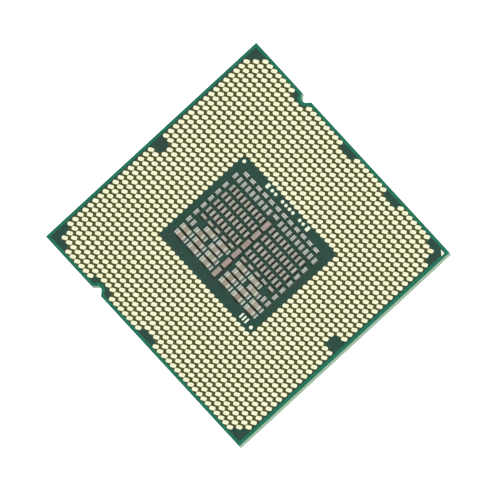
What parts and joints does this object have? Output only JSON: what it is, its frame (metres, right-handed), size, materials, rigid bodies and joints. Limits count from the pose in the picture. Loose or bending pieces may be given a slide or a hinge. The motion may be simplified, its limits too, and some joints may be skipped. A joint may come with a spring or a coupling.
{
  "type": "processor package",
  "caption": "Land-grid-array processor package with a metal heat spreader, tilted gold contact lands, keying notches and a cavity of chip capacitors.",
  "frame": {"origin": "centre of the package outline, on the heat spreader's outer face, which is the lowest face", "axes": "+Z out of the land side, +X along the 45 mm side, towards the corner with the pin-one triangle"},
  "size_m": [0.045, 0.0426, 0.0048],
  "materials": {
    "nickel_plate": "matt electroless nickel over copper",
    "sealant": "cured black silicone",
    "indium": "dull indium solder",
    "silicon": "polished silicon",
    "solder": "bright reflowed solder",
    "underfill": "glossy brown epoxy fillet",
    "solder_mask_die_side": "semi-gloss green solder mask",
    "solder_mask_land_side": "semi-gloss green solder mask over copper",
    "build_up": "cut edge of build-up film",
    "laminate": "cut edge of glass-fibre epoxy",
    "copper": "copper foil and plating",
    "gold": "matt gold plating over nickel",
    "gold_lands": "pale matt gold plating over nickel",
    "tinned_pad": "tinned copper pad",
    "tin_terminal": "dull tin plating",
    "ceramic_grey": "fired grey-brown ceramic",
    "ceramic_tan": "fired tan ceramic",
    "ceramic_pink": "fired pink-brown ceramic"
  },
  "bodies": {
    "root": {"heat_spreader": "nickel_plate", "lid_sealant": "sealant", "die_solder_layer": "indium", "silicon_die": "silicon", "die_bumps": "solder", "underfill": "underfill", "die_side_mask": "solder_mask_die_side", "die_side_pin_one_mark": "gold", "die_side_test_pads": "gold", "die_side_build_up": "build_up", "ground_plane": "copper", "core_laminate": "laminate", "core_vias": "copper", "power_plane": "copper", "land_side_build_up": "build_up", "land_side_mask": "solder_mask_land_side", "lands": "gold_lands", "cavity_test_pads": "gold", "fiducial_dots": "gold", "pin_one_mark": "gold", "revision_marks": "gold", "edge_capacitor_pads": "tinned_pad", "edge_capacitor_solder": "solder", "edge_capacitor_terminals": "tin_terminal", "edge_capacitor_ceramics": "ceramic_grey", "array_capacitor_pads": "tinned_pad", "array_capacitor_solder": "solder", "array_capacitor_terminals": "tin_terminal", "array_capacitor_ceramics": "ceramic_tan", "centre_capacitor_pads": "tinned_pad", "centre_capacitor_solder": "solder", "centre_capacitor_terminals": "tin_terminal", "centre_capacitor_ceramics": "ceramic_pink", "bulk_capacitor_pads": "tinned_pad", "bulk_capacitor_solder": "solder", "bulk_capacitor_terminals": "tin_terminal", "bulk_capacitor_ceramics": "ceramic_tan"}
  },
  "joints": []
}
